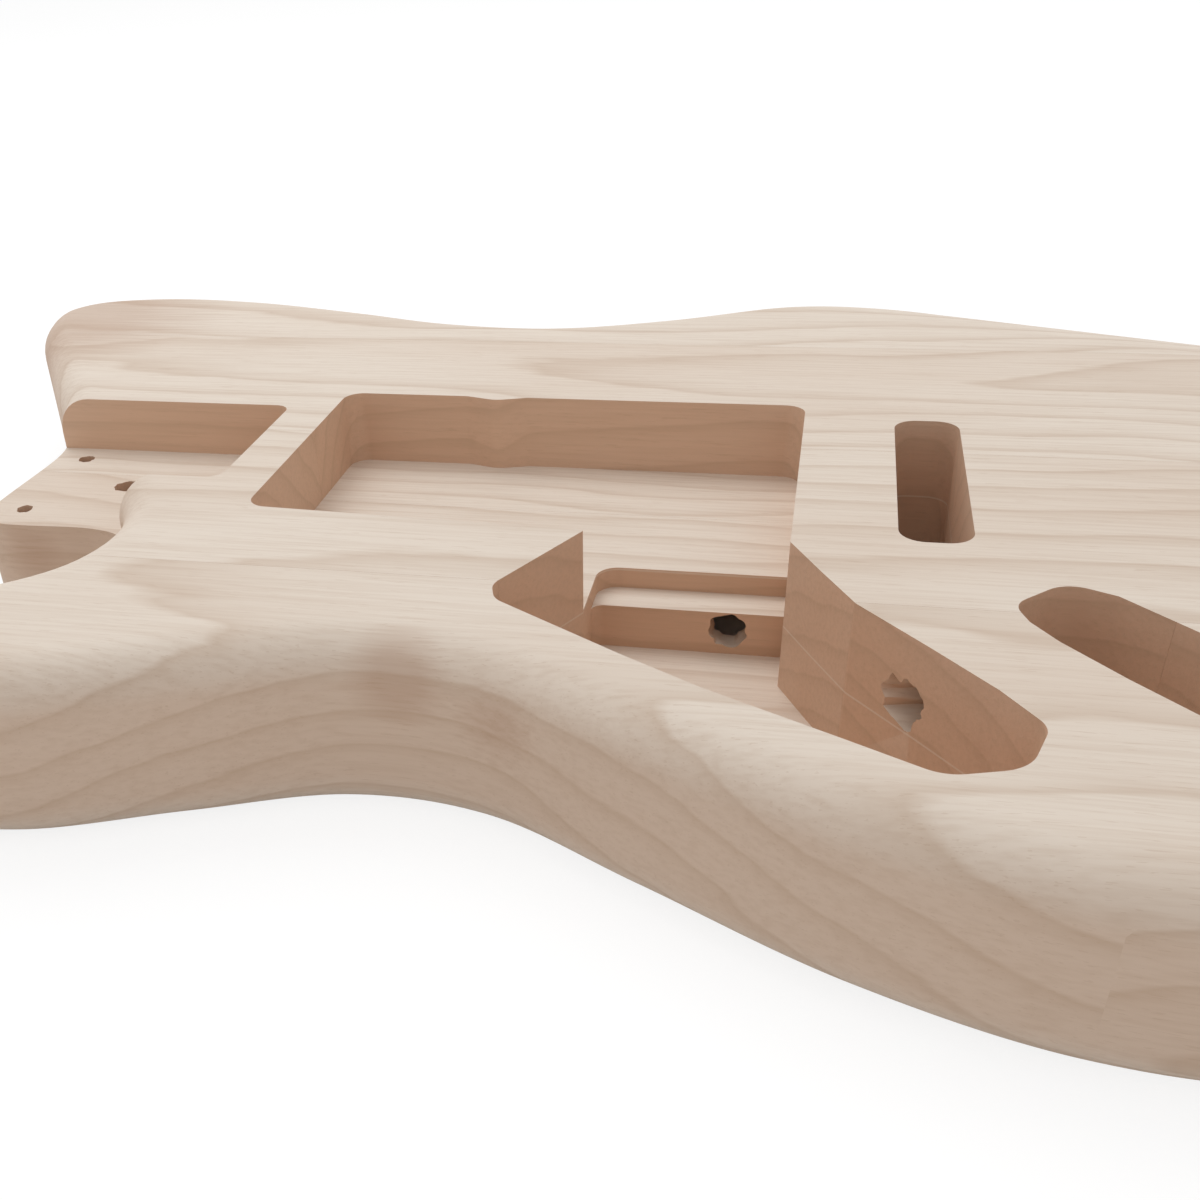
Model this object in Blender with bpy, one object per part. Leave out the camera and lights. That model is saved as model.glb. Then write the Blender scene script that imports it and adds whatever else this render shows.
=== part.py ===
"""Bare solid electric guitar body of four edge glued boards, left handed, with its routed cavities.

Plan sizes are in millimetres from the closed end of the neck pocket: +X to the tail, +Y to the
bass side, heights up from the back. The model itself is in metres, centred on its own plan.
"""
import math

import bmesh
import bpy
import numpy as np
from mathutils.geometry import delaunay_2d_cdt

# Body
THICKNESS = 44.5
ROUNDOVER = 11.0
ROUNDOVER_STEPS = 4
OUTLINE_STEPS = 132

# Boards and their glue lines
BOARD_PITCH = 84.5
MIDDLE_SEAM_Y = 8.0
GLUE_GAP = 0.3

# Neck pocket and heel
POCKET_LENGTH = 76.0
POCKET_WIDTH = 55.0
POCKET_DEPTH = 16.0
POCKET_CORNER = 4.5
POCKET_WALL_END = -21.0
BOLT_RADIUS = 2.5
BOLT_SPACING_X = 50.8
BOLT_SPACING_Y = 38.1
BOLT_FROM_END = 15.9
CENTRE_HOLE_RADIUS = 4.0
CENTRE_HOLE_DEPTH = 10.0

# Pickup pool and the steps at its treble side
POOL_START = 14.0
POOL_END = 148.5
POOL_BASS_Y = 40.0
POOL_DEPTH = 21.0
POOL_CORNER = 5.5
POOL_BUMP = 2.7
LEDGE_START = 97.0
LEDGE_Y = -24.5
LEDGE_DEPTH = 26.5
CONTROL_STEP_Y = -35.0

# Control cavity
CONTROL_DEPTH = 38.0
CONTROL_CORNER = 6.0

# Tremolo slot and spring cavity
SLOT_START = 172.0
SLOT_LENGTH = 16.5
SLOT_BASS_Y = 31.0
SLOT_TREBLE_Y = -45.5
SLOT_CORNER = 6.0
SPRING_START = 84.0
SPRING_WIDTH = 57.0
SPRING_CLAW_WIDTH = 78.0
SPRING_CLAW_LENGTH = 14.0
SPRING_DEPTH = 16.0
SPRING_CORNER = 6.0

# Jack recess and wire bores
JACK_DEPTH = 28.0
JACK_CORNER = 7.0
BORE_RADIUS = 4.5
GROUND_BORE_X = 135.0
GROUND_BORE_HEIGHT = 13.0
JACK_BORE_HEIGHT = 29.5

# Contours
FOREARM_DROP = 20.0
FOREARM_REACH = 65.0
FOREARM_START = (115.0, 140.0)
FOREARM_END = (325.0, 60.0)
BELLY_RISE = 13.0
BELLY_INNER_Y = 62.0
BELLY_OUTER_Y = 125.0
BELLY_START = 5.0
BELLY_END = 215.0

MM = 0.001
OVERCUT = 5.0

# Hand drawn outline, counter clockwise from the neck end of the heel
HEEL_LIP = 1.0
HEEL_END = -POCKET_LENGTH - HEEL_LIP
OUTLINE = [
    (HEEL_END, 22), (HEEL_END, -20), (HEEL_END + 2, -27), (HEEL_END + 9, -29.5), (-40, -29.5),
    (-30, -33), (-22, -44), (-18.5, -60), (-22, -76), (-34, -88), (-54, -95), (-74, -99),
    (-86, -105), (-89, -114), (-82, -123), (-62, -131), (-38, -135), (-10, -133), (24, -120),
    (58, -108), (88, -110), (124, -128), (165, -149), (205, -161), (240, -160.5),
    (278, -144), (308, -110), (325, -62), (330, -8), (327, 45), (314, 97),
    (290, 134), (255, 156), (216, 162), (178, 158), (137, 146), (97, 127),
    (62, 117), (27, 120), (-8, 131), (-53, 143), (-92, 146), (-120, 138),
    (-130, 124), (-127, 106), (-114, 84), (-100, 62), (-88, 44), (HEEL_END - 3, 32),
]


def closed_spline(points, count):
    """Centripetal Catmull-Rom curve through the points, sampled at equal lengths."""
    pts = np.array(points, float)
    samples = []
    for i in range(len(pts)):
        quad = [pts[(i + k) % len(pts)] for k in (-1, 0, 1, 2)]
        knots = [0.0]
        for a, b in zip(quad, quad[1:]):
            knots.append(knots[-1] + math.sqrt(np.linalg.norm(b - a)))
        for t in np.linspace(knots[1], knots[2], 24, endpoint=False):
            level = quad
            for span in (1, 2, 3):
                level = [((knots[j + span] - t) * level[j] + (t - knots[j]) * level[j + 1])
                         / (knots[j + span] - knots[j]) for j in range(len(level) - 1)]
                if span == 2:
                    level = [((knots[2] - t) * level[0] + (t - knots[1]) * level[1])
                             / (knots[2] - knots[1])]
                    break
            samples.append(level[0])
    curve = np.array(samples)
    around = np.vstack([curve, curve[:1]])
    length = np.concatenate([[0], np.cumsum(np.linalg.norm(np.diff(around, axis=0), axis=1))])
    at = np.linspace(0, length[-1], count, endpoint=False)
    return np.stack([np.interp(at, length, around[:, k]) for k in (0, 1)], axis=1)


def inward_normals(loop):
    """Unit normals of a counter clockwise loop, pointing into it."""
    along = np.roll(loop, -1, axis=0) - np.roll(loop, 1, axis=0)
    along /= np.linalg.norm(along, axis=1)[:, None]
    return np.stack([-along[:, 1], along[:, 0]], axis=1)


def local_roundover(loop):
    """The roundover, no more than 0.8 of the outline's own radius where it turns outwards."""
    a, b = loop - np.roll(loop, 1, axis=0), np.roll(loop, -1, axis=0) - loop
    turn = np.arctan2(a[:, 0] * b[:, 1] - a[:, 1] * b[:, 0], (a * b).sum(axis=1))
    step = np.linalg.norm(b, axis=1)
    limit = np.where(turn > 0.001, 0.8 * step / np.maximum(turn, 0.001), ROUNDOVER)
    radius = np.minimum(ROUNDOVER, limit)
    radius = np.minimum.reduce([np.roll(radius, k) for k in (-1, 0, 1)])
    for _ in range(3):
        radius = (np.roll(radius, 1) + 2 * radius + np.roll(radius, -1)) / 4
    return radius


def forearm_drop(x, y):
    """How far the top sinks: the square of the distance past the contour's inner line."""
    along = np.subtract(FOREARM_END, FOREARM_START)
    along = along / np.linalg.norm(along)
    past = (y - FOREARM_START[1]) * along[0] - (x - FOREARM_START[0]) * along[1]
    return FOREARM_DROP * (np.maximum(past, 0) / FOREARM_REACH) ** 2


def belly_rise(x, y):
    """How far the back rises at the waist, fading out towards both ends."""
    along = np.clip((x - BELLY_START) / (BELLY_END - BELLY_START), 0, 1)
    across = np.clip((y - BELLY_INNER_Y) / (BELLY_OUTER_Y - BELLY_INNER_Y), 0, 1.1)
    return BELLY_RISE * np.sin(math.pi * along) ** 2 * across ** 2


def top_height(x, y):
    return THICKNESS - forearm_drop(x, y)


outline = closed_spline(OUTLINE, OUTLINE_STEPS)
CENTRE = (outline.max(axis=0) + outline.min(axis=0)) / 2


def place(x, y, z):
    """A point of the plan as a point of the model, in metres."""
    return ((x - CENTRE[0]) * MM, (y - CENTRE[1]) * MM, z * MM)


def new_object(name, verts, faces):
    mesh = bpy.data.meshes.new(name)
    mesh.from_pydata(verts, [], faces)
    mesh.validate()
    obj = bpy.data.objects.new(name, mesh)
    bpy.context.collection.objects.link(obj)
    return obj


def cap_triangles(loop, spacing=14.0):
    """Triangles over a loop, with grid points inside so that the contours can curve."""
    low, high = loop.min(axis=0), loop.max(axis=0)
    grid = [(x, y) for x in np.arange(low[0], high[0], spacing)
            for y in np.arange(low[1], high[1], spacing)]
    nexts = np.roll(loop, -1, axis=0)

    def inside(point):
        x, y = point
        cross = (loop[:, 1] > y) != (nexts[:, 1] > y)
        rise = np.where(nexts[:, 1] == loop[:, 1], 1e-9, nexts[:, 1] - loop[:, 1])
        at = (nexts[:, 0] - loop[:, 0]) * (y - loop[:, 1]) / rise + loop[:, 0]
        return (cross & (x < at)).sum() % 2 == 1

    extra = [p for p in grid if inside(p) and np.linalg.norm(loop - p, axis=1).min() > 6]
    points = [tuple(map(float, p)) for p in loop] + [tuple(map(float, p)) for p in extra]
    result = delaunay_2d_cdt(points, [], [list(range(len(loop)))], 1, 1e-6)
    return np.array([tuple(v) for v in result[0]]), [list(f) for f in result[2]], result[3]


def body_blank():
    """The shaped board: side rings with both roundovers, and a contoured cap on each face."""
    normals, radius = inward_normals(outline), local_roundover(outline)
    verts, faces = [], []
    count = len(outline)
    angles = np.linspace(0, math.pi / 2, ROUNDOVER_STEPS + 1)
    rings = [(math.cos(a), math.sin(a), "back") for a in angles] + \
            [(math.cos(a), math.sin(a), "top") for a in angles[::-1]]
    for cos_a, sin_a, face in rings:
        inset = radius * (1 - sin_a)
        rise = radius * (1 - cos_a)
        xy = outline + normals * inset[:, None]
        if face == "back":
            z = belly_rise(xy[:, 0], xy[:, 1]) + rise
        else:
            z = top_height(xy[:, 0], xy[:, 1]) - rise
        verts += [place(p[0], p[1], h) for p, h in zip(xy, z)]
    for k in range(len(rings) - 1):
        for i in range(count):
            j = (i + 1) % count
            faces.append((k * count + i, k * count + j, (k + 1) * count + j, (k + 1) * count + i))
    flat = outline + normals * radius[:, None]
    points, triangles, origin = cap_triangles(flat)
    for start, height in ((0, belly_rise), ((len(rings) - 1) * count, top_height)):
        index = []
        for p, source in zip(points, origin):
            if source and source[0] < count:
                index.append(start + source[0])
            else:
                index.append(len(verts))
                verts.append(place(p[0], p[1], float(height(p[0], p[1]))))
        faces += [[index[v] for v in t] for t in triangles]
    obj = new_object("blank", verts, faces)
    tidy = bmesh.new()
    tidy.from_mesh(obj.data)
    bmesh.ops.recalc_face_normals(tidy, faces=tidy.faces)
    tidy.to_mesh(obj.data)
    tidy.free()
    return obj


def rounded(corners, radius, steps=4):
    """A polygon with each corner turned into an arc; a corner may carry a radius of its own."""
    out = []
    count = len(corners)
    for i, corner in enumerate(corners):
        here = np.array(corner[:2], float)
        r = corner[2] if len(corner) > 2 else radius
        a = np.array(corners[i - 1][:2], float) - here
        b = np.array(corners[(i + 1) % count][:2], float) - here
        la, lb = np.linalg.norm(a), np.linalg.norm(b)
        a, b = a / la, b / lb
        half = math.acos(max(-1, min(1, float(a @ b)))) / 2
        if r <= 0 or half > 1.5:
            out.append(tuple(here))
            continue
        reach = min(r / math.tan(half), 0.45 * la, 0.45 * lb)
        r = reach * math.tan(half)
        middle = here + (a + b) / np.linalg.norm(a + b) * r / math.sin(half)
        start, end = here + a * reach - middle, here + b * reach - middle
        sweep = math.atan2(start[0] * end[1] - start[1] * end[0], float(start @ end))
        for t in np.linspace(0, sweep, steps + 1):
            c, s = math.cos(t), math.sin(t)
            out.append((middle[0] + start[0] * c - start[1] * s,
                        middle[1] + start[0] * s + start[1] * c))
    return out


def set_aside(obj):
    """Marks a cutter, which isn't part of the model."""
    obj.hide_render = True
    obj.display_type = "WIRE"
    return obj


def prism(name, points, low, high):
    """A straight sided cutter over a plan outline."""
    pts = np.array(points)
    area = (pts[:, 0] * np.roll(pts[:, 1], -1) - pts[:, 1] * np.roll(pts[:, 0], -1)).sum()
    if area < 0:
        pts = pts[::-1]
    n = len(pts)
    verts = [place(x, y, low) for x, y in pts] + [place(x, y, high) for x, y in pts]
    faces = [list(range(n))[::-1], list(range(n, 2 * n))]
    faces += [(i, (i + 1) % n, (i + 1) % n + n, i + n) for i in range(n)]
    return set_aside(new_object(name, verts, faces))


def bore(name, start, end, radius, sides=16):
    """A round cutter between two points of the plan."""
    a, b = np.array(place(*start)), np.array(place(*end))
    axis = (b - a) / np.linalg.norm(b - a)
    side = np.cross(axis, (0, 0, 1) if abs(axis[2]) < 0.9 else (1, 0, 0))
    side /= np.linalg.norm(side)
    up = np.cross(axis, side)
    turns = [2 * math.pi * k / sides for k in range(sides)]
    ring = [(side * math.cos(t) + up * math.sin(t)) * radius * MM for t in turns]
    verts = [tuple(a + r) for r in ring] + [tuple(b + r) for r in ring]
    faces = [list(range(sides))[::-1], list(range(sides, 2 * sides))]
    faces += [(i, (i + 1) % sides, (i + 1) % sides + sides, i + sides) for i in range(sides)]
    return set_aside(new_object(name, verts, faces))


def cavity(name, points, depth):
    """A pocket routed down from the top face."""
    return prism(name, points, THICKNESS - depth, THICKNESS + OVERCUT)


def cutters():
    """Every cut that the maker's routers and drills left in the body."""
    half = POCKET_WIDTH / 2
    past = -POCKET_LENGTH - 40
    made = [cavity("neck_pocket_cut", rounded([
        (0, half), (past, half, 0), (past, -half - 14, 0), (POCKET_WALL_END - 10, -half - 14, 0),
        (POCKET_WALL_END, -half, 1.5), (0, -half)], POCKET_CORNER), POCKET_DEPTH)]
    bump_x = POOL_START + 46
    made.append(cavity("pickup_pool_cut", rounded([
        (POOL_START, POOL_BASS_Y), (POOL_START, -44), (LEDGE_START + 4, -48.5, 0),
        (POOL_END, -48.5, 0), (POOL_END, POOL_BASS_Y), (bump_x + 9, POOL_BASS_Y, 0),
        (bump_x, POOL_BASS_Y - POOL_BUMP, 0), (bump_x - 9, POOL_BASS_Y, 0)],
        POOL_CORNER), POOL_DEPTH))
    made.append(cavity("ledge_cut", rounded([
        (LEDGE_START + 4, LEDGE_Y), (LEDGE_START + 4, -49, 0), (POOL_END, -49, 0),
        (POOL_END, LEDGE_Y, 0)], POOL_CORNER), LEDGE_DEPTH))
    control = [
        (LEDGE_START + 4, CONTROL_STEP_Y, 3), (LEDGE_START + 4, -49, 0), (86, -78.5), (88, -85),
        (118, -104.6, 0), (134.7, -114.8, 0), (162, -129, 0), (178, -137.5, 9), (192, -133, 9),
        (196.4, -119.5, 6), (188.8, -107.9, 0), (177, -93.5, 0), (163, -77, 2),
        (155.4, -62.6, 0), (POOL_END, -49, 0), (POOL_END, CONTROL_STEP_Y, 0)]
    made.append(cavity("control_cavity_cut", rounded(control, CONTROL_CORNER), CONTROL_DEPTH))
    slot_end = SLOT_START + SLOT_LENGTH
    made.append(prism("tremolo_slot_cut", rounded([
        (SLOT_START, SLOT_BASS_Y), (SLOT_START, SLOT_TREBLE_Y), (slot_end, SLOT_TREBLE_Y),
        (slot_end, SLOT_BASS_Y)], SLOT_CORNER), -OVERCUT, THICKNESS + OVERCUT))
    spring, claw = SPRING_WIDTH / 2, SPRING_CLAW_WIDTH / 2
    made.append(prism("spring_cavity_cut", rounded([
        (SPRING_START, claw), (SPRING_START, -claw), (SPRING_START + SPRING_CLAW_LENGTH, -claw),
        (SPRING_START + SPRING_CLAW_LENGTH, -spring, 0), (slot_end + 1, -spring),
        (slot_end + 1, spring), (SPRING_START + SPRING_CLAW_LENGTH, spring, 0),
        (SPRING_START + SPRING_CLAW_LENGTH, claw)], SPRING_CORNER), -OVERCUT, SPRING_DEPTH))
    made.append(cavity("jack_recess_cut", rounded([
        (194, -73), (205, -62), (214.7, -66.8, 0), (227.2, -80.2, 0), (245, -104), (243, -117),
        (225, -115), (211.8, -100.5, 0), (201.2, -87.7, 0), (196.4, -80.3, 0)],
        JACK_CORNER), JACK_DEPTH))
    for i, x in enumerate((-BOLT_FROM_END, -BOLT_FROM_END - BOLT_SPACING_X)):
        for j, y in enumerate((BOLT_SPACING_Y / 2, -BOLT_SPACING_Y / 2)):
            name = "bolt_hole_cut_%d%d" % (i, j)
            made.append(bore(name, (x, y, -OVERCUT), (x, y, THICKNESS), BOLT_RADIUS, 14))
    floor = THICKNESS - POCKET_DEPTH
    made.append(bore("centre_hole_cut", (-43.5, 0, floor - CENTRE_HOLE_DEPTH),
                     (-43.5, 0, floor + OVERCUT), CENTRE_HOLE_RADIUS, 14))
    made.append(bore("ground_bore_cut", (GROUND_BORE_X, CONTROL_STEP_Y - 6, GROUND_BORE_HEIGHT),
                     (GROUND_BORE_X, -SPRING_WIDTH / 2 + 4, GROUND_BORE_HEIGHT), BORE_RADIUS))
    made.append(bore("jack_bore_cut", (165, -92, JACK_BORE_HEIGHT),
                     (211, -82, JACK_BORE_HEIGHT), BORE_RADIUS))
    return made


def boolean(obj, other, operation):
    modifier = obj.modifiers.new(other.name, "BOOLEAN")
    modifier.object = other
    modifier.operation = operation
    modifier.solver = "EXACT"


def finished_mesh(obj):
    """The object's mesh with its modifiers carried out."""
    depsgraph = bpy.context.evaluated_depsgraph_get()
    return bpy.data.meshes.new_from_object(obj.evaluated_get(depsgraph))


def wood(name, colour):
    material = bpy.data.materials.new(name)
    material.use_nodes = True
    shader = material.node_tree.nodes["Principled BSDF"]
    shader.inputs["Base Color"].default_value = (*colour, 1)
    shader.inputs["Roughness"].default_value = 0.6
    shader.inputs["Metallic"].default_value = 0.0
    material.diffuse_color = (*colour, 1)
    return material


def boards(blank):
    """The four boards, each the blank between its two glue lines."""
    seams = [MIDDLE_SEAM_Y + BOARD_PITCH * k for k in (-1, 0, 1)]
    far = 400.0
    spans = [("treble_outer_board", -far, seams[0], (0.80, 0.66, 0.49)),
             ("treble_inner_board", seams[0], seams[1], (0.84, 0.74, 0.60)),
             ("bass_inner_board", seams[1], seams[2], (0.82, 0.68, 0.51)),
             ("bass_outer_board", seams[2], far, (0.83, 0.70, 0.55))]
    for name, low, high, colour in spans:
        board = bpy.data.objects.new(name, blank.data.copy())
        bpy.context.collection.objects.link(board)
        board.data.name = name
        board.data.materials.clear()
        board.data.materials.append(wood(name, colour))
        low += GLUE_GAP / 2
        high -= GLUE_GAP / 2
        saw = prism(name + "_saw", [(-far, low), (far * 1.5, low), (far * 1.5, high), (-far, high)],
                    -OVERCUT, THICKNESS + OVERCUT)
        boolean(board, saw, "INTERSECT")


for old in list(bpy.data.objects):
    bpy.data.objects.remove(old, do_unlink=True)
whole = body_blank()
for cutter in cutters():
    boolean(whole, cutter, "DIFFERENCE")
cut_mesh = finished_mesh(whole)
whole.modifiers.clear()
whole.data = cut_mesh
set_aside(whole)
boards(whole)
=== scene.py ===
import math

import bmesh
import bpy
import numpy as np
from mathutils import Matrix, Vector, noise
from mathutils.geometry import delaunay_2d_cdt


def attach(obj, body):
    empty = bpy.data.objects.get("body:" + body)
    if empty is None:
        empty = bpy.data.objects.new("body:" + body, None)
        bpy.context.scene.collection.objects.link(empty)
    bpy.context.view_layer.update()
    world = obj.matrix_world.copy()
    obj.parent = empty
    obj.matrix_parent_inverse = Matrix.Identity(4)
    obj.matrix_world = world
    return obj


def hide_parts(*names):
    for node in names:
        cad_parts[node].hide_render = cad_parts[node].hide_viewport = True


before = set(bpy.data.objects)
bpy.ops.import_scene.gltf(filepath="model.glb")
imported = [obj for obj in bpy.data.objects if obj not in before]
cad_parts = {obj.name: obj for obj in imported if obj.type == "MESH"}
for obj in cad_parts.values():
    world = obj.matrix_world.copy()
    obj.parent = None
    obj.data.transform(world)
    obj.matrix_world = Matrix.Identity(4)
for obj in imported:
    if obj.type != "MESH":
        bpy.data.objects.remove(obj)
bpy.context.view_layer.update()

# The blank: the body's outline, sawn from glued boards and rounded over along both edges, with
# a forearm contour sanded into the top and a belly contour into the back. Plan sizes are
# millimetres from the closed end of the neck pocket, +X to the tail and +Y to the bass side.
MM = 0.001
THICKNESS = 44.5
ROUNDOVER = 11.0
ROUNDOVER_STEPS = 9
ROUNDOVER_SHARE = 0.8
ROUNDOVER_BLENDS = 30
OUTLINE_STEPS = 560
SPAN_STEPS = 40
CAP_SPACING = 6.0
CAP_MARGIN = 2.5
CAP_REACH_X, CAP_REACH_Y = (-140, 340), (-170, 170)
CENTRE = (99.845, -0.14)
FOREARM_DROP, FOREARM_REACH = 20.0, 65.0
FOREARM_START, FOREARM_END = (115.0, 140.0), (325.0, 60.0)
BELLY_RISE, BELLY_START, BELLY_END = 13.0, 5.0, 215.0
BELLY_INNER_Y, BELLY_OUTER_Y = 62.0, 125.0
BELLY_PAST_EDGE = 1.1
OUTLINE = [
    (-77, 22), (-77, -20), (-75, -27), (-68, -29.5), (-40, -29.5),
    (-30, -33), (-22, -44), (-18.5, -60), (-22, -76), (-34, -88), (-54, -95), (-74, -99),
    (-86, -105), (-89, -114), (-82, -123), (-62, -131), (-38, -135), (-10, -133), (24, -120),
    (58, -108), (88, -110), (124, -128), (165, -149), (205, -161), (240, -160.5),
    (278, -144), (308, -110), (325, -62), (330, -8), (327, 45), (314, 97),
    (290, 134), (255, 156), (216, 162), (178, 158), (137, 146), (97, 127),
    (62, 117), (27, 120), (-8, 131), (-53, 143), (-92, 146), (-120, 138),
    (-130, 124), (-127, 106), (-114, 84), (-100, 62), (-88, 44), (-80, 32),
]


def closed_spline(points, count):
    """Centripetal Catmull-Rom curve: each span blends its four points by square root knots."""
    pts = np.array(points, float)
    p = [np.roll(pts, -k, axis=0)[:, None, :] for k in (-1, 0, 1, 2)]
    knots = [np.zeros((len(pts), 1, 1))]
    for a, b in zip(p, p[1:]):
        knots.append(knots[-1] + np.sqrt(np.linalg.norm(b - a, axis=2, keepdims=True)))
    share = np.linspace(0, 1, SPAN_STEPS, endpoint=False)[None, :, None]
    t = knots[1] + (knots[2] - knots[1]) * share

    def mix(a, b, i, j):
        return ((knots[j] - t) * a + (t - knots[i]) * b) / (knots[j] - knots[i])

    one = [mix(p[k], p[k + 1], k, k + 1) for k in range(3)]
    two = [mix(one[0], one[1], 0, 2), mix(one[1], one[2], 1, 3)]
    curve = mix(two[0], two[1], 1, 2).reshape(-1, 2)
    around = np.vstack([curve, curve[:1]])
    length = np.concatenate([[0], np.cumsum(np.linalg.norm(np.diff(around, axis=0), axis=1))])
    at = np.linspace(0, length[-1], count, endpoint=False)
    return np.stack([np.interp(at, length, around[:, k]) for k in (0, 1)], axis=1)


def forearm_drop(x, y):
    """The square of the distance past the contour's inner line, in shares of its reach."""
    along = np.subtract(FOREARM_END, FOREARM_START)
    along = along / np.linalg.norm(along)
    past = (y - FOREARM_START[1]) * along[0] - (x - FOREARM_START[0]) * along[1]
    return FOREARM_DROP * (np.maximum(past, 0) / FOREARM_REACH) ** 2


def belly_rise(x, y):
    """A squared sine along the waist, times the square of the distance across the contour."""
    along = np.clip((x - BELLY_START) / (BELLY_END - BELLY_START), 0, 1)
    width = BELLY_OUTER_Y - BELLY_INNER_Y
    across = np.clip((y - BELLY_INNER_Y) / width, 0, BELLY_PAST_EDGE)
    return BELLY_RISE * np.sin(math.pi * along) ** 2 * across ** 2


def place(xy, z):
    """Points of the plan as points of the model, in metres."""
    xy = np.asarray(xy, float)
    z = np.broadcast_to(z, xy.shape[:-1])
    return np.concatenate([(xy - CENTRE) * MM, z[..., None] * MM], axis=-1)


def new_piece(name, verts, faces, material=None):
    """A mesh object at the origin from arrays of points and faces."""
    mesh = bpy.data.meshes.new(name)
    mesh.from_pydata([tuple(v) for v in verts], [], faces)
    obj = bpy.data.objects.new(name, mesh)
    bpy.context.collection.objects.link(obj)
    if material:
        mesh.materials.append(material)
    return obj


def outward(obj):
    """Turns every face of a closed mesh outwards."""
    tidy = bmesh.new()
    tidy.from_mesh(obj.data)
    bmesh.ops.recalc_face_normals(tidy, faces=tidy.faces)
    tidy.to_mesh(obj.data)
    tidy.free()
    return obj


def in_loop(points, loop):
    """True for each point that a loop holds, by counting its crossings with a ray along +X."""
    x, y = points[:, 0, None], points[:, 1, None]
    ax, ay = loop[:, 0], loop[:, 1]
    bx, by = np.roll(ax, -1), np.roll(ay, -1)
    rise = np.where(by == ay, 1e-9, by - ay)
    return (((ay > y) != (by > y)) & (x < (bx - ax) * (y - ay) / rise + ax)).sum(axis=1) % 2 == 1


def body_blank(material):
    """Rings of the outline, inset and raised round a quarter circle at each edge, then capped.

    The circle is no larger than a share of the outline's own radius where that turns outwards.
    """
    loop = closed_spline(OUTLINE, OUTLINE_STEPS)
    along = np.roll(loop, -1, axis=0) - np.roll(loop, 1, axis=0)
    along /= np.linalg.norm(along, axis=1)[:, None]
    inward = np.stack([-along[:, 1], along[:, 0]], axis=1)
    a, b = loop - np.roll(loop, 3, axis=0), np.roll(loop, -3, axis=0) - loop
    turn = np.arctan2(a[:, 0] * b[:, 1] - a[:, 1] * b[:, 0], (a * b).sum(axis=1))
    bend = ROUNDOVER_SHARE * np.linalg.norm(b, axis=1) / np.maximum(turn, 0.001)
    radius = np.minimum(ROUNDOVER, bend)
    radius = np.minimum.reduce([np.roll(radius, k) for k in range(-4, 5)])
    for _ in range(ROUNDOVER_BLENDS):
        radius = (np.roll(radius, 1) + 2 * radius + np.roll(radius, -1)) / 4
    turns = np.linspace(0, math.pi / 2, ROUNDOVER_STEPS + 1)
    rings = []
    for angle in turns:
        xy = loop + inward * (radius * (1 - math.sin(angle)))[:, None]
        rings.append(place(xy, belly_rise(*xy.T) + radius * (1 - math.cos(angle))))
    for angle in turns[::-1]:
        xy = loop + inward * (radius * (1 - math.sin(angle)))[:, None]
        rings.append(place(xy, THICKNESS - forearm_drop(*xy.T) - radius * (1 - math.cos(angle))))
    n = len(loop)
    verts = np.concatenate(rings)
    i = np.arange(n)
    j = (i + 1) % n
    faces = [np.stack([k * n + i, k * n + j, (k + 1) * n + j, (k + 1) * n + i], axis=1)
             for k in range(len(rings) - 1)]
    faces = np.concatenate(faces).tolist()
    flat = loop + inward * radius[:, None]
    gx, gy = np.meshgrid(np.arange(*CAP_REACH_X, CAP_SPACING),
                         np.arange(*CAP_REACH_Y, CAP_SPACING))
    grid = np.stack([gx.ravel(), gy.ravel()], axis=1)
    clear = np.linalg.norm(grid[:, None] - flat[None], axis=2).min(axis=1) > CAP_MARGIN
    grid = grid[in_loop(grid, flat) & clear]
    points = [tuple(p) for p in np.vstack([flat, grid]).tolist()]
    found = delaunay_2d_cdt(points, [], [list(range(n))], 1, 1e-6)
    spots = np.array([tuple(v) for v in found[0]])
    source = np.array([s[0] if s and s[0] < n else -1 for s in found[3]])
    for start, height in ((0, belly_rise(*spots.T)),
                          ((len(rings) - 1) * n, THICKNESS - forearm_drop(*spots.T))):
        index = np.where(source >= 0, start + source, len(verts) + np.cumsum(source < 0) - 1)
        verts = np.concatenate([verts, place(spots, height)[source < 0]])
        faces += [[int(index[v]) for v in f] for f in found[2]]
    return outward(new_piece("blank", verts, faces, material))


# The wood: a pale, wide ringed hardwood, bare and sanded. Each of the four boards was cut from
# another part of the tree, so each has its own ring centre, its own slope and its own tone.
BOARD_WIDTH = 84.5
MIDDLE_SEAM_Y = 8.0
BOARD_PITCH = BOARD_WIDTH * MM
MIDDLE_SEAM = (MIDDLE_SEAM_Y - CENTRE[1]) * MM
RING_PITCH = 0.0088
RING_EDGE = 5.0
RING_BACK = 9.0
RING_SOFTNESS = 0.1
SWAY, FINE_SWAY = 0.05, 0.006
PITH_SIDE, PITH_SLOPE, PITH_CLIMB = 0.055, 0.10, -0.06
PITH_RISE, PITH_DEPTH = 0.03, -0.035
PORE_LEVEL = 0.68
TONE_STEP = 0.10
PALE = (0.80, 0.70, 0.60, 1)
LATE = (0.47, 0.31, 0.20, 1)
# The next colour is a tan tone of the wood; on the blank's upright outer sides it is partly painted
# shade.
TAN_AND_SIDE_SHADE = (0.66, 0.50, 0.385, 1)
# The next colour is for the upright walls of the routed pockets and holes: partly the routed wood's
# own tone, partly painted shade in the recesses.
ROUTED_WALL_AND_SHADE = (0.68, 0.45, 0.31, 1)
DARK_SPOT = (0.40, 0.21, 0.12, 1)
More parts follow.
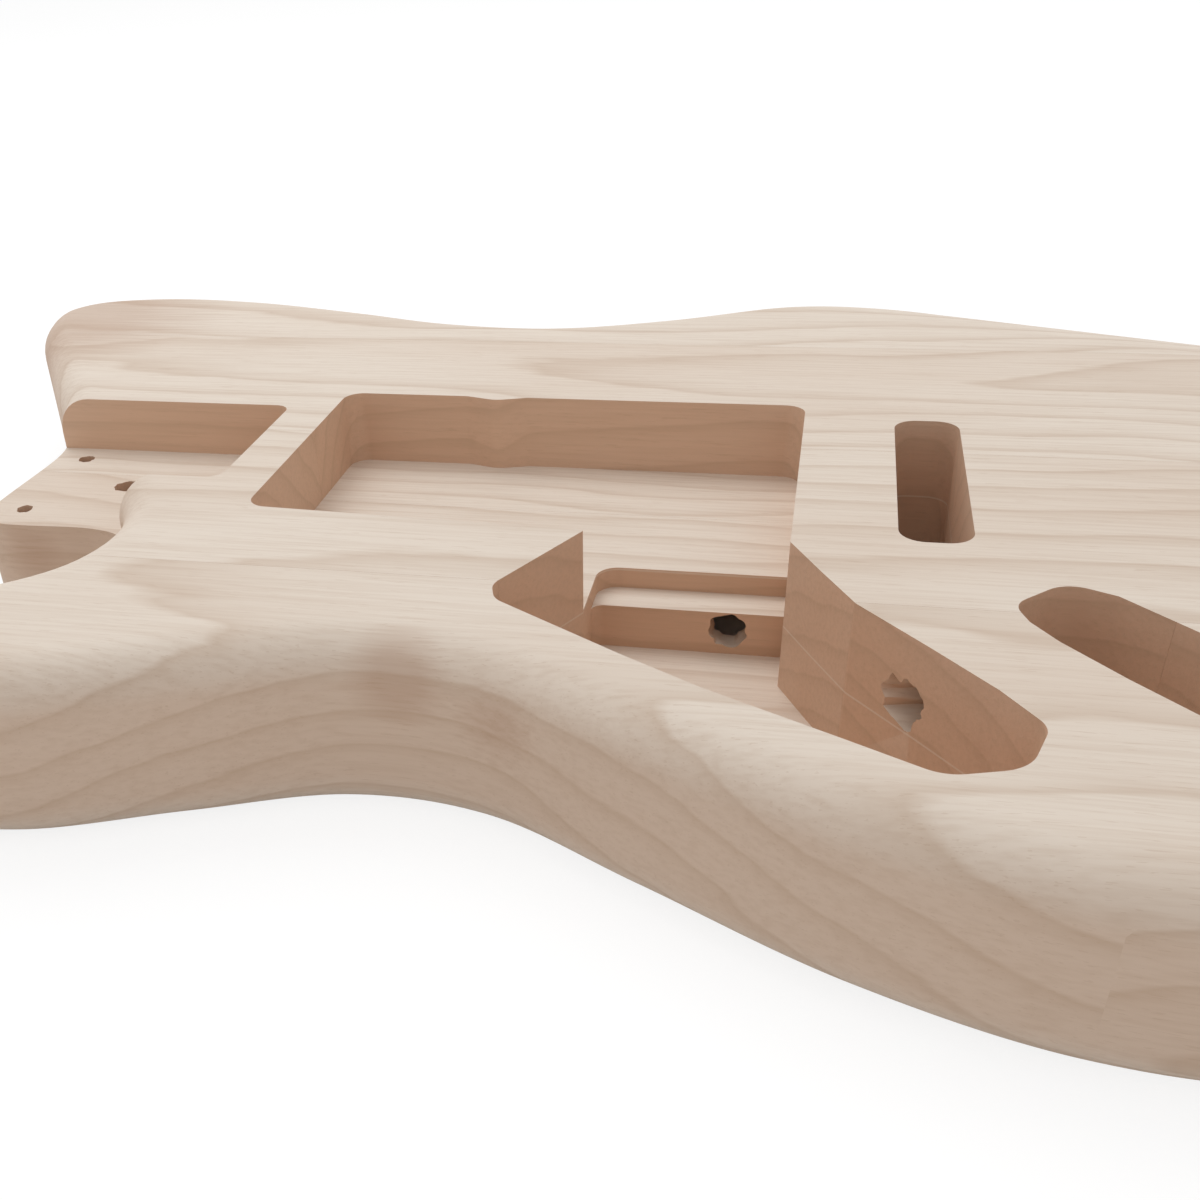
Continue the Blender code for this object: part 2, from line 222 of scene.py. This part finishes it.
# Darker spots: place, reach and strength, in model metres. The first two are knots in the treble
# outer board; the others darken the bass horn, the tail's end and the heel's treble side.
SPOTS = [((-0.028, -0.107, 0.036), 0.013, 0.55), ((-0.008, -0.117, 0.030), 0.012, 0.5),
         ((-0.215, 0.110, 0.040), 0.060, 0.62), ((0.215, -0.050, 0.020), 0.060, 0.25),
         ((-0.160, -0.035, 0.020), 0.012, 0.5)]
SPOT_RAGGED, SPOT_FADE, SPOT_MOST = 1.2, 0.4, 0.6
TONE_START, TONE_GAIN, TONE_MOST = 0.45, 1.1, 0.5
FIBRE_START, FIBRE_GAIN = 0.42, 0.7
PORE_SHARE = 0.22
WOOD_ROUGHNESS, WOOD_SPECULAR = 0.62, 0.3
FIBRE_RELIEF = 0.0002
# Height at which the router made its next pass, and half the width of the line that it left.
ROUTER_PASS, ROUTER_LINE = 0.0230, 0.00022


def add(tree, kind, **settings):
    """A node with some of its properties and inputs set."""
    node = tree.nodes.new(kind)
    for key, value in settings.items():
        if key.startswith("in_"):
            name = key[3:]
            node.inputs[int(name) if name.isdigit() else name].default_value = value
        else:
            setattr(node, key, value)
    return node


def calc(tree, operation, a, b=None, c=None):
    """One Math node; a, b and c are numbers or sockets."""
    node = add(tree, "ShaderNodeMath", operation=operation)
    for k, value in enumerate((a, b, c)):
        if value is None:
            continue
        if isinstance(value, (int, float)):
            node.inputs[k].default_value = value
        else:
            tree.links.new(value, node.inputs[k])
    return node.outputs[0]


def grain_group():
    """Masks of the grain at a point: growth rings, fine fibres, pores, and each board's tone."""
    tree = bpy.data.node_groups.new("board_grain", "ShaderNodeTree")
    tree.interface.new_socket("Position", in_out="INPUT", socket_type="NodeSocketVector")
    for name in ("Ring", "Fibre", "Pores", "Tone"):
        tree.interface.new_socket(name, in_out="OUTPUT", socket_type="NodeSocketFloat")
    start, end = tree.nodes.new("NodeGroupInput"), tree.nodes.new("NodeGroupOutput")
    split = add(tree, "ShaderNodeSeparateXYZ")
    tree.links.new(start.outputs[0], split.inputs[0])
    x, y, z = split.outputs
    board = calc(tree, "FLOOR", calc(tree, "DIVIDE", calc(tree, "SUBTRACT", y, MIDDLE_SEAM),
                                     BOARD_PITCH))

    def stretched(scale, detail, label):
        """Noise stretched along the grain, and shifted from board to board."""
        joined = add(tree, "ShaderNodeCombineXYZ")
        for socket, value, factor in zip(joined.inputs, (x, y, z), scale):
            moved = calc(tree, "MULTIPLY_ADD", value, factor, calc(tree, "MULTIPLY", board, label))
            tree.links.new(moved, socket)
        node = add(tree, "ShaderNodeTexNoise", in_Scale=1.0, in_Detail=detail)
        tree.links.new(joined.outputs[0], node.inputs["Vector"])
        return node.outputs[0]

    sway = calc(tree, "MULTIPLY_ADD", stretched((5, 9, 9), 2.0, 7.3),
                SWAY, -SWAY / 2)
    fine_sway = calc(tree, "MULTIPLY_ADD", stretched((14, 60, 60), 3.0, 3.1),
                     FINE_SWAY, -FINE_SWAY / 2)
    middle = calc(tree, "MULTIPLY_ADD", calc(tree, "ADD", board, 0.5), BOARD_PITCH, MIDDLE_SEAM)
    side = calc(tree, "MULTIPLY", calc(tree, "SINE", calc(tree, "MULTIPLY_ADD", board, 2.2, 0.4)),
                PITH_SIDE)
    slope = calc(tree, "MULTIPLY", calc(tree, "SINE", calc(tree, "MULTIPLY", board, 1.7)),
                 PITH_SLOPE)
    pith_y = calc(tree, "ADD", calc(tree, "ADD", middle, side), calc(tree, "MULTIPLY", x, slope))
    pith_z = calc(tree, "MULTIPLY_ADD", calc(tree, "COSINE", calc(tree, "MULTIPLY", board, 2.0)),
                  PITH_RISE, PITH_DEPTH)
    dy = calc(tree, "SUBTRACT", calc(tree, "ADD", y, sway), pith_y)
    climbed = calc(tree, "ADD", z, calc(tree, "MULTIPLY", x, PITH_CLIMB))
    dz = calc(tree, "SUBTRACT", climbed, pith_z)
    away = calc(tree, "SQRT", calc(tree, "ADD", calc(tree, "MULTIPLY", dy, dy),
                                   calc(tree, "MULTIPLY", dz, dz)))
    rings_out = calc(tree, "DIVIDE", calc(tree, "ADD", away, fine_sway), RING_PITCH)
    phase = calc(tree, "FRACT", rings_out)
    ring = calc(tree, "POWER", phase, RING_EDGE)
    back = calc(tree, "MULTIPLY", calc(tree, "SUBTRACT", 1.0, phase), RING_BACK)
    soft_end = calc(tree, "SMOOTH_MIN", ring, back, RING_SOFTNESS)
    tree.links.new(soft_end, end.inputs["Ring"])
    tree.links.new(stretched((30, 900, 900), 4.0, 1.7), end.inputs["Fibre"])
    pores = calc(tree, "GREATER_THAN", stretched((140, 2600, 2600), 1.0, 4.4), PORE_LEVEL)
    tree.links.new(pores, end.inputs["Pores"])
    own_tone = calc(tree, "SINE", calc(tree, "MULTIPLY", board, 4.1))
    tone = calc(tree, "MULTIPLY_ADD", own_tone, TONE_STEP, stretched((6, 16, 16), 2.0, 9.1))
    tree.links.new(tone, end.inputs["Tone"])
    return tree


board_grain = grain_group()


def wood(name, base, side, ring_strength, bump, router_marks=0.0):
    """Bare wood: the grain's masks mix the base towards late wood, and upright faces take the side
    colour, partly the wood's own tone and partly painted shade.
    """
    material = bpy.data.materials.new(name)
    material.use_nodes = True
    tree = material.node_tree
    shader = tree.nodes["Principled BSDF"]
    shader.inputs["Roughness"].default_value = WOOD_ROUGHNESS
    shader.inputs["Specular IOR Level"].default_value = WOOD_SPECULAR
    where = tree.nodes.new("ShaderNodeTexCoord")
    grain = add(tree, "ShaderNodeGroup", node_tree=board_grain)
    tree.links.new(where.outputs["Object"], grain.inputs[0])

    def blend(factor, a, b):
        """Mixes colour a towards colour b; each is a colour or a socket."""
        node = add(tree, "ShaderNodeMix", data_type="RGBA")
        tree.links.new(factor, node.inputs[0])
        for value, socket in ((a, node.inputs[6]), (b, node.inputs[7])):
            if isinstance(value, tuple):
                socket.default_value = value
            else:
                tree.links.new(value, socket)
        return node.outputs[2]

    facing = add(tree, "ShaderNodeSeparateXYZ")
    tree.links.new(where.outputs["Normal"], facing.inputs[0])
    # Upright faces, the outer sides and the pocket walls, are mixed towards the side colour: partly
    # the wood's own tone there, partly painted shade, darker than the top as if less light fell on
    # them.
    upright = calc(tree, "SUBTRACT", 1.0, calc(tree, "ABSOLUTE", facing.outputs[2]))
    colour = blend(upright, base, side)
    tone = calc(tree, "SUBTRACT", grain.outputs["Tone"], TONE_START)
    tone = calc(tree, "MULTIPLY", tone, TONE_GAIN)
    tone = calc(tree, "MINIMUM", calc(tree, "MAXIMUM", tone, 0.0), TONE_MOST)
    colour = blend(tone, colour, TAN_AND_SIDE_SHADE)
    colour = blend(calc(tree, "MULTIPLY", grain.outputs["Ring"], ring_strength), colour, LATE)
    fibre = calc(tree, "SUBTRACT", grain.outputs["Fibre"], FIBRE_START)
    fibre = calc(tree, "MULTIPLY", fibre, FIBRE_GAIN)
    fibre = calc(tree, "MAXIMUM", fibre, 0.0)
    colour = blend(fibre, colour, LATE)
    colour = blend(calc(tree, "MULTIPLY", grain.outputs["Pores"], PORE_SHARE), colour, LATE)
    height = add(tree, "ShaderNodeSeparateXYZ")
    tree.links.new(where.outputs["Object"], height.inputs[0])
    off = calc(tree, "ABSOLUTE", calc(tree, "SUBTRACT", height.outputs[2], ROUTER_PASS))
    line = calc(tree, "MULTIPLY", calc(tree, "LESS_THAN", off, ROUTER_LINE), upright)
    colour = blend(calc(tree, "MULTIPLY", line, router_marks), colour, PALE)
    for centre, reach, strength in SPOTS:
        apart = add(tree, "ShaderNodeVectorMath", operation="DISTANCE", in_1=centre)
        tree.links.new(where.outputs["Object"], apart.inputs[0])
        ragged = calc(tree, "MULTIPLY_ADD", grain.outputs["Fibre"], SPOT_RAGGED,
                      -SPOT_RAGGED / 2)
        near = calc(tree, "SUBTRACT", 1.0, calc(tree, "DIVIDE", apart.outputs["Value"], reach))
        near = calc(tree, "MAXIMUM", calc(tree, "MULTIPLY_ADD", ragged, SPOT_FADE, near), 0.0)
        near = calc(tree, "MULTIPLY", calc(tree, "MINIMUM", near, SPOT_MOST), strength)
        colour = blend(near, colour, DARK_SPOT)
    tree.links.new(colour, shader.inputs["Base Color"])
    relief = add(tree, "ShaderNodeBump", in_Strength=bump, in_Distance=FIBRE_RELIEF)
    tree.links.new(grain.outputs["Fibre"], relief.inputs["Height"])
    tree.links.new(relief.outputs[0], shader.inputs["Normal"])
    return material


sanded_wood = wood("sanded_wood", PALE, TAN_AND_SIDE_SHADE, 0.52, 0.25)
routed_wood = wood("routed_wood", PALE, ROUTED_WALL_AND_SHADE, 0.50, 0.5, router_marks=0.45)
blank = body_blank(sanded_wood)

# The neck pocket: routed straight down into the heel, open at its end and at the treble cutaway,
# so that the neck's heel lies in it on the flat floor. Its inner corners are the cutter's arcs.
OVERCUT = 5.0
POCKET_HALF, POCKET_DEPTH, POCKET_CORNER = 27.5, 16, 4.5
POCKET_PAST_X, POCKET_PAST_Y = -116, -41.5
POCKET_WALL_END, POCKET_WALL_OUT = -21, -31
STRAIGHT = 1.5


def rounded(corners, radius, steps=9):
    """A polygon whose corners are arcs, tangent to both sides; a corner may have its own radius."""
    out = []
    for i, corner in enumerate(corners):
        here = np.array(corner[:2], float)
        r = corner[2] if len(corner) > 2 else radius
        a = np.array(corners[i - 1][:2], float) - here
        b = np.array(corners[(i + 1) % len(corners)][:2], float) - here
        la, lb = np.linalg.norm(a), np.linalg.norm(b)
        a, b = a / la, b / lb
        half = math.acos(max(-1, min(1, float(a @ b)))) / 2
        if r <= 0 or half > STRAIGHT:
            out.append(here[None])
            continue
        reach = min(r / math.tan(half), 0.45 * la, 0.45 * lb)
        middle = here + (a + b) / np.linalg.norm(a + b) * reach * math.tan(half) / math.sin(half)
        start, end = here + a * reach - middle, here + b * reach - middle
        sweep = math.atan2(start[0] * end[1] - start[1] * end[0], float(start @ end))
        t = np.linspace(0, sweep, steps + 1)[:, None]
        out.append(middle + start * np.cos(t) + np.array([-start[1], start[0]]) * np.sin(t))
    return np.concatenate(out)


def prism(name, points, low, high):
    """A straight sided cutter over a plan outline."""
    pts = np.array(points, float)
    area = (pts[:, 0] * np.roll(pts[:, 1], -1) - pts[:, 1] * np.roll(pts[:, 0], -1)).sum()
    pts = pts[::-1] if area < 0 else pts
    n = len(pts)
    faces = [list(range(n))[::-1], list(range(n, 2 * n))]
    faces += [(i, (i + 1) % n, (i + 1) % n + n, i + n) for i in range(n)]
    return new_piece(name, np.concatenate([place(pts, low), place(pts, high)]), faces, routed_wood)


def cavity(name, points, depth):
    """A pocket routed down from the top face."""
    return prism(name, points, THICKNESS - depth, THICKNESS + OVERCUT)


neck_pocket = rounded([
    (0, POCKET_HALF), (POCKET_PAST_X, POCKET_HALF, 0), (POCKET_PAST_X, POCKET_PAST_Y, 0),
    (POCKET_WALL_OUT, POCKET_PAST_Y, 0), (POCKET_WALL_END, -POCKET_HALF, 1.5),
    (0, -POCKET_HALF)], POCKET_CORNER)
cuts = [cavity("neck_pocket", neck_pocket, POCKET_DEPTH)]

# The pickup pool: one wide pocket for all the pickups, with a small bump in its bass wall, and
# a shallow ledge at its treble side where the floor steps down towards the controls.
POOL_START, POOL_END, POOL_BASS_Y = 14, 148.5, 40
POOL_TREBLE_START_Y, POOL_TREBLE_END_Y, LAND_Y = -44, -48.5, -49
POOL_DEPTH, POOL_CORNER = 21, 5.5
BUMP_X, BUMP_HALF, BUMP_Y = 60, 9, 37.3
LEDGE_START, LEDGE_Y, LEDGE_DEPTH = 101.0, -24.5, 26.5
pickup_pool = rounded([
    (POOL_START, POOL_BASS_Y), (POOL_START, POOL_TREBLE_START_Y),
    (LEDGE_START, POOL_TREBLE_END_Y, 0), (POOL_END, POOL_TREBLE_END_Y, 0),
    (POOL_END, POOL_BASS_Y), (BUMP_X + BUMP_HALF, POOL_BASS_Y, 6), (BUMP_X, BUMP_Y, 8),
    (BUMP_X - BUMP_HALF, POOL_BASS_Y, 6)], POOL_CORNER)
ledge = rounded([
    (LEDGE_START, LEDGE_Y), (LEDGE_START, LAND_Y, 0), (POOL_END, LAND_Y, 0),
    (POOL_END, LEDGE_Y, 0)], POOL_CORNER)
cuts.append(cavity("pickup_pool", pickup_pool, POOL_DEPTH))
cuts.append(cavity("ledge", ledge, LEDGE_DEPTH))

# The control cavity: a deep pocket for the potentiometers and the switch, which opens into the
# pool and tapers along the treble edge to a round end.
STEP_Y, CONTROL_DEPTH, CONTROL_CORNER = -35, 38, 6
control_cavity = rounded([
    (LEDGE_START, STEP_Y, 3), (LEDGE_START, LAND_Y, 0), (86, -78.5), (88, -85),
    (118, -104.6, 0), (134.7, -114.8, 0), (162, -129, 0), (178, -137.5, 9), (192, -133, 9),
    (196.4, -119.5, 6), (188.8, -107.9, 0), (177, -93.5, 0), (163, -77, 2),
    (155.4, -62.6, 0), (POOL_END, LAND_Y, 0), (POOL_END, STEP_Y, 0)], CONTROL_CORNER)
cuts.append(cavity("control_cavity", control_cavity, CONTROL_DEPTH))

# The tremolo: a slot right through the body for the bridge's block, and the spring cavity
# behind it, routed from the back and wider at the end that holds the spring claw.
SLOT_START, SLOT_END, SLOT_BASS_Y, SLOT_TREBLE_Y = 172, 188.5, 31, -45.5
SPRING_START, CLAW_END, SPRING_END = 84, 98, 189.5
SPRING_HALF, CLAW_HALF, SPRING_DEPTH = 28.5, 39, 16
TREMOLO_CORNER = 6
tremolo_slot = rounded([
    (SLOT_START, SLOT_BASS_Y), (SLOT_START, SLOT_TREBLE_Y), (SLOT_END, SLOT_TREBLE_Y),
    (SLOT_END, SLOT_BASS_Y)], TREMOLO_CORNER)
spring_cavity = rounded([
    (SPRING_START, CLAW_HALF), (SPRING_START, -CLAW_HALF), (CLAW_END, -CLAW_HALF),
    (CLAW_END, -SPRING_HALF, 0), (SPRING_END, -SPRING_HALF), (SPRING_END, SPRING_HALF),
    (CLAW_END, SPRING_HALF, 0), (CLAW_END, CLAW_HALF)], TREMOLO_CORNER)
cuts.append(prism("tremolo_slot", tremolo_slot, -OVERCUT, THICKNESS + OVERCUT))
cuts.append(prism("spring_cavity", spring_cavity, -OVERCUT, SPRING_DEPTH))

# The jack recess: a slanted boat shape routed into the top for the output jack's cup.
JACK_DEPTH, JACK_CORNER = 28, 7
jack_recess = rounded([
    (194, -73), (205, -62), (214.7, -66.8, 0), (227.2, -80.2, 0), (245, -104), (243, -117),
    (225, -115), (211.8, -100.5, 0), (201.2, -87.7, 0), (196.4, -80.3, 0)], JACK_CORNER)
cuts.append(cavity("jack_recess", jack_recess, JACK_DEPTH))

# The drilled holes: a blind hole in the pocket's floor, a bore for the ground wire and one for
# the jack's wires, and the four neck screw holes. Soft fibres tore at their rims.
SCREW_X, SCREW_Y = (-15.9, -66.7), 19.05
HOLE_SIDES, HOLE_ROWS, TEAR_AROUND, TEAR_ALONG = 40, 14, 2.5, 3


def drilled(name, start, end, radius, torn, seed=1.0):
    """A drilled hole: rings along its axis, whose radius varies with noise where it is torn."""
    a, b = place(start[:2], start[2]), place(end[:2], end[2])
    axis = (b - a) / np.linalg.norm(b - a)
    side = np.cross(axis, (0, 0, 1) if abs(axis[2]) < 0.9 else (1, 0, 0))
    side /= np.linalg.norm(side)
    up = np.cross(axis, side)
    sides, rows = HOLE_SIDES, HOLE_ROWS
    verts = []
    for k in np.linspace(0, 1, rows):
        for t in np.linspace(0, 2 * math.pi, sides, endpoint=False):
            ragged = noise.noise(Vector((math.cos(t) * TEAR_AROUND, math.sin(t) * TEAR_AROUND,
                                         k * TEAR_ALONG + seed)))
            r = (radius + torn * ragged) * MM
            verts.append(a + (b - a) * k + (side * math.cos(t) + up * math.sin(t)) * r)
    faces = [list(range(sides))[::-1], list(range((rows - 1) * sides, rows * sides))]
    faces += [(k * sides + i, k * sides + (i + 1) % sides, (k + 1) * sides + (i + 1) % sides,
               (k + 1) * sides + i) for k in range(rows - 1) for i in range(sides)]
    return new_piece(name, verts, faces, routed_wood)


cuts.append(drilled("centre_hole", (-43.5, 0, 18.5), (-43.5, 0, 33), 3.8, 0.8))
cuts.append(drilled("ground_bore", (135, -41, 13), (135, LEDGE_Y, 13), 4.6, 1.0))
cuts.append(drilled("jack_bore", (165, -92, 29.5), (211, -82, 29.5), 5.0, 2.2, seed=4.0))
for i, (x, y) in enumerate([(x, y) for x in SCREW_X for y in (SCREW_Y, -SCREW_Y)]):
    cuts.append(drilled("screw_hole_%d" % i, (x, y, -OVERCUT), (x, y, 34), 2.4, 0.5, seed=i))


def boolean(obj, other, operation):
    """A live exact Boolean, which carries the cutter's wood to the faces that it leaves."""
    modifier = obj.modifiers.new(other.name, "BOOLEAN")
    modifier.object = other
    modifier.operation = operation
    modifier.solver = "EXACT"
    modifier.material_mode = "TRANSFER"


def apply_all(obj):
    """Carries the modifiers out and keeps the result as the object's own mesh."""
    bpy.context.view_layer.update()
    graph = bpy.context.evaluated_depsgraph_get()
    result = bpy.data.meshes.new_from_object(obj.evaluated_get(graph))
    obj.modifiers.clear()
    obj.data = result


for cut in cuts:
    boolean(blank, cut, "DIFFERENCE")
apply_all(blank)
for cut in cuts:
    bpy.data.objects.remove(cut, do_unlink=True)

# The four boards: glued edge to edge before the body was cut, with hairline seams between them.
SEAMS = [MIDDLE_SEAM_Y + BOARD_WIDTH * k for k in (-1, 0, 1)]
HAIRLINE = 0.03
FAR = 400.0
SHARP_EDGE = math.radians(32)
for node, low, high in (("treble_outer_board", -FAR, SEAMS[0]),
                        ("treble_inner_board", SEAMS[0], SEAMS[1]),
                        ("bass_inner_board", SEAMS[1], SEAMS[2]),
                        ("bass_outer_board", SEAMS[2], FAR)):
    board = bpy.data.objects.new(node.replace("board", "wood"), blank.data.copy())
    bpy.context.collection.objects.link(board)
    saw = prism(node + "_saw", [(-FAR, low + HAIRLINE), (2 * FAR, low + HAIRLINE),
                                (2 * FAR, high - HAIRLINE), (-FAR, high - HAIRLINE)],
                -OVERCUT, THICKNESS + OVERCUT)
    boolean(board, saw, "INTERSECT")
    apply_all(board)
    bpy.data.objects.remove(saw, do_unlink=True)
    board.data.shade_smooth()
    board.data.set_sharp_from_angle(angle=SHARP_EDGE)
    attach(board, "root")
    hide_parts(node)
bpy.data.objects.remove(blank, do_unlink=True)

# The floor: a plain white sheet that glows a little for the camera, so that it reads as white
# and still keeps a soft shadow. Under the body it doesn't glow, so the bores stay dark.
FLOOR_WHITE, FLOOR_ROUGHNESS, FLOOR_GLOW = 0.9, 0.9, 1.1
GLOW_SHARE = 0.75
UNDER_HALF_X, UNDER_HALF_Y = 0.130, 0.075
FLOOR_HALF = 6.0
floor_material = bpy.data.materials.new("white_floor")
floor_material.use_nodes = True
floor_tree = floor_material.node_tree
floor_shader = floor_tree.nodes["Principled BSDF"]
floor_shader.inputs["Base Color"].default_value = (*[FLOOR_WHITE] * 3, 1)
floor_shader.inputs["Roughness"].default_value = FLOOR_ROUGHNESS
floor_rays = floor_tree.nodes.new("ShaderNodeLightPath")
floor_glow = floor_tree.nodes.new("ShaderNodeEmission")
floor_glow.inputs["Strength"].default_value = FLOOR_GLOW
floor_mix = floor_tree.nodes.new("ShaderNodeMixShader")
floor_where = floor_tree.nodes.new("ShaderNodeTexCoord")
floor_split = floor_tree.nodes.new("ShaderNodeSeparateXYZ")
floor_tree.links.new(floor_where.outputs["Object"], floor_split.inputs[0])
across = [calc(floor_tree, "POWER", calc(floor_tree, "ABSOLUTE",
          calc(floor_tree, "DIVIDE", socket, half)), 2.0)
          for socket, half in zip(floor_split.outputs, (UNDER_HALF_X, UNDER_HALF_Y))]
open_floor = calc(floor_tree, "GREATER_THAN", calc(floor_tree, "ADD", *across), 1.0)
floor_share = calc(floor_tree, "MULTIPLY", floor_rays.outputs["Is Camera Ray"], GLOW_SHARE)
floor_share = calc(floor_tree, "MULTIPLY", floor_share, open_floor)
floor_tree.links.new(floor_share, floor_mix.inputs[0])
floor_tree.links.new(floor_shader.outputs[0], floor_mix.inputs[1])
floor_tree.links.new(floor_glow.outputs[0], floor_mix.inputs[2])
floor_tree.links.new(floor_mix.outputs[0],
                     floor_tree.nodes["Material Output"].inputs["Surface"])
floor = new_piece("floor", [(-FLOOR_HALF, -FLOOR_HALF, 0), (FLOOR_HALF, -FLOOR_HALF, 0),
                            (FLOOR_HALF, FLOOR_HALF, 0), (-FLOOR_HALF, FLOOR_HALF, 0)],
                  [(0, 1, 2, 3)], floor_material)

# The light: an even pale sky, white to the camera, and one large soft lamp overhead.
AMBIENT, SEEN = 0.62, 1.0
LAMP_SPOT, LAMP_SIZE, LAMP_POWER = (-0.5, 0.6, 1.5), 1.2, 11.0
world = bpy.data.worlds.new("studio")
bpy.context.scene.world = world
world.use_nodes = True
sky = world.node_tree
backdrop = sky.nodes["Background"]
backdrop.inputs["Color"].default_value = (1, 1, 1, 1)
rays = sky.nodes.new("ShaderNodeLightPath")
seen = calc(sky, "MAXIMUM", rays.outputs["Is Camera Ray"], rays.outputs["Is Glossy Ray"])
seen = calc(sky, "MAXIMUM", seen, rays.outputs["Is Transmission Ray"])
level = calc(sky, "MULTIPLY_ADD", seen, SEEN - AMBIENT, AMBIENT)
sky.links.new(level, backdrop.inputs["Strength"])


def soft_lamp(name, spot, target, size, power):
    """A square lamp at a spot, facing a target."""
    lamp = bpy.data.lights.new(name, "AREA")
    lamp.size = size
    lamp.energy = power
    obj = bpy.data.objects.new(name, lamp)
    obj.location = spot
    obj.rotation_euler = (Vector(target) - Vector(spot)).to_track_quat("-Z", "Y").to_euler()
    bpy.context.collection.objects.link(obj)


soft_lamp("overhead", LAMP_SPOT, (0, 0, 0), LAMP_SIZE, LAMP_POWER)

# The camera: low over the treble side, near the waist, as the photograph was taken.
FOCAL_PIXELS, FRAME_PIXELS, PRINCIPAL_V = 1323.3, 1200.0, 770.3
SHIFT_X = 0.11
SENSOR = 36.0
EYE = (151.26, -331.88, THICKNESS + 131.33)
LOOKING, DOWN = (-0.22932, 0.79068, -0.56765), (0.09282, -0.56277, -0.82138)
camera_data = bpy.data.cameras.new("camera")
camera_data.sensor_width = SENSOR
camera_data.lens = SENSOR * FOCAL_PIXELS / FRAME_PIXELS
camera_data.shift_x = SHIFT_X
camera_data.shift_y = (PRINCIPAL_V - FRAME_PIXELS / 2) / FRAME_PIXELS
camera_data.clip_start = 0.01
camera = bpy.data.objects.new("camera", camera_data)
bpy.context.collection.objects.link(camera)
forward = Vector(LOOKING).normalized()
up = -Vector(DOWN).normalized()
right = forward.cross(up).normalized()
turn = Matrix((right, up, -forward)).transposed()
camera.matrix_world = Matrix.Translation(Vector(place(EYE[:2], EYE[2]))) @ turn.to_4x4()
bpy.context.scene.camera = camera
bpy.context.scene.view_settings.view_transform = "Standard"
